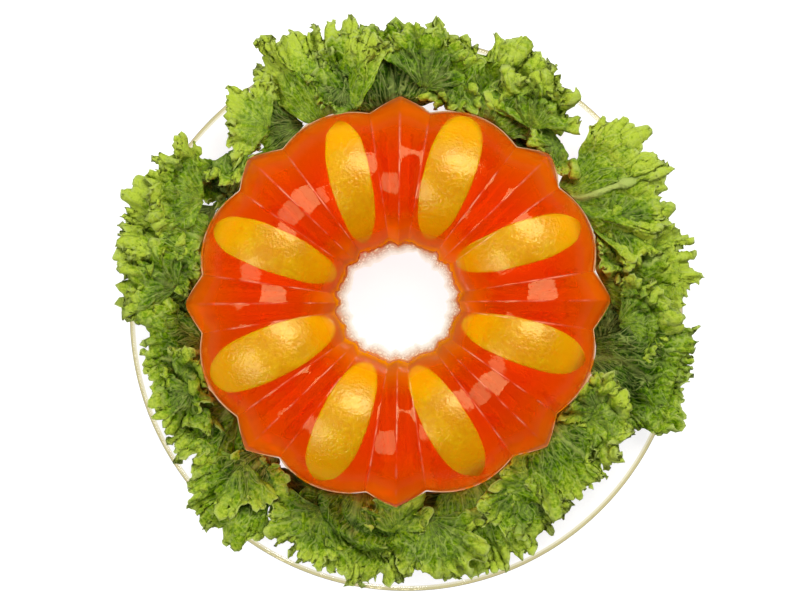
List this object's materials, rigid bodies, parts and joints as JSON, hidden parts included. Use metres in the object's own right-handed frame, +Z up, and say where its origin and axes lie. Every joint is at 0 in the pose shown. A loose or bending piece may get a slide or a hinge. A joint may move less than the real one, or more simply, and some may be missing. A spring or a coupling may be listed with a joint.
{
  "type": "moulded jelly",
  "caption": "Fluted ring of orange jelly with peach slices set in its lobes, on a round clear glass plate with curly lettuce round it.",
  "frame": {"origin": "centre of the plate's flat foot, on the surface that the plate stands on", "axes": "+Z up along the plate's middle line; +Y towards the side where the jelly ring stands a little nearer the plate's rim; +X to the right of that"},
  "size_m": [0.2947, 0.3034, 0.0635],
  "materials": {
    "glass": "clear pressed soda-lime glass with a polished rolled rim",
    "jelly": "clear orange-red gelatin, wet and glossy as turned out of its mould",
    "peach": "soft yellow tinned peach with a satin skin side",
    "lettuce": "puckered curly green leaf, satin, paler at its frilled margin"
  },
  "bodies": {
    "root": {"plate": "glass", "jelly_ring": "jelly", "peach_slice_1": "peach", "peach_slice_2": "peach", "peach_slice_3": "peach", "peach_slice_4": "peach", "peach_slice_5": "peach", "peach_slice_6": "peach", "peach_slice_7": "peach", "peach_slice_8": "peach", "lettuce_leaf_01": "lettuce", "lettuce_leaf_02": "lettuce", "lettuce_leaf_03": "lettuce", "lettuce_leaf_04": "lettuce", "lettuce_leaf_05": "lettuce", "lettuce_leaf_06": "lettuce", "lettuce_leaf_07": "lettuce", "lettuce_leaf_08": "lettuce", "lettuce_leaf_09": "lettuce", "lettuce_leaf_10": "lettuce", "lettuce_leaf_11": "lettuce", "lettuce_leaf_12": "lettuce", "lettuce_leaf_13": "lettuce", "lettuce_leaf_14": "lettuce"}
  },
  "joints": []
}
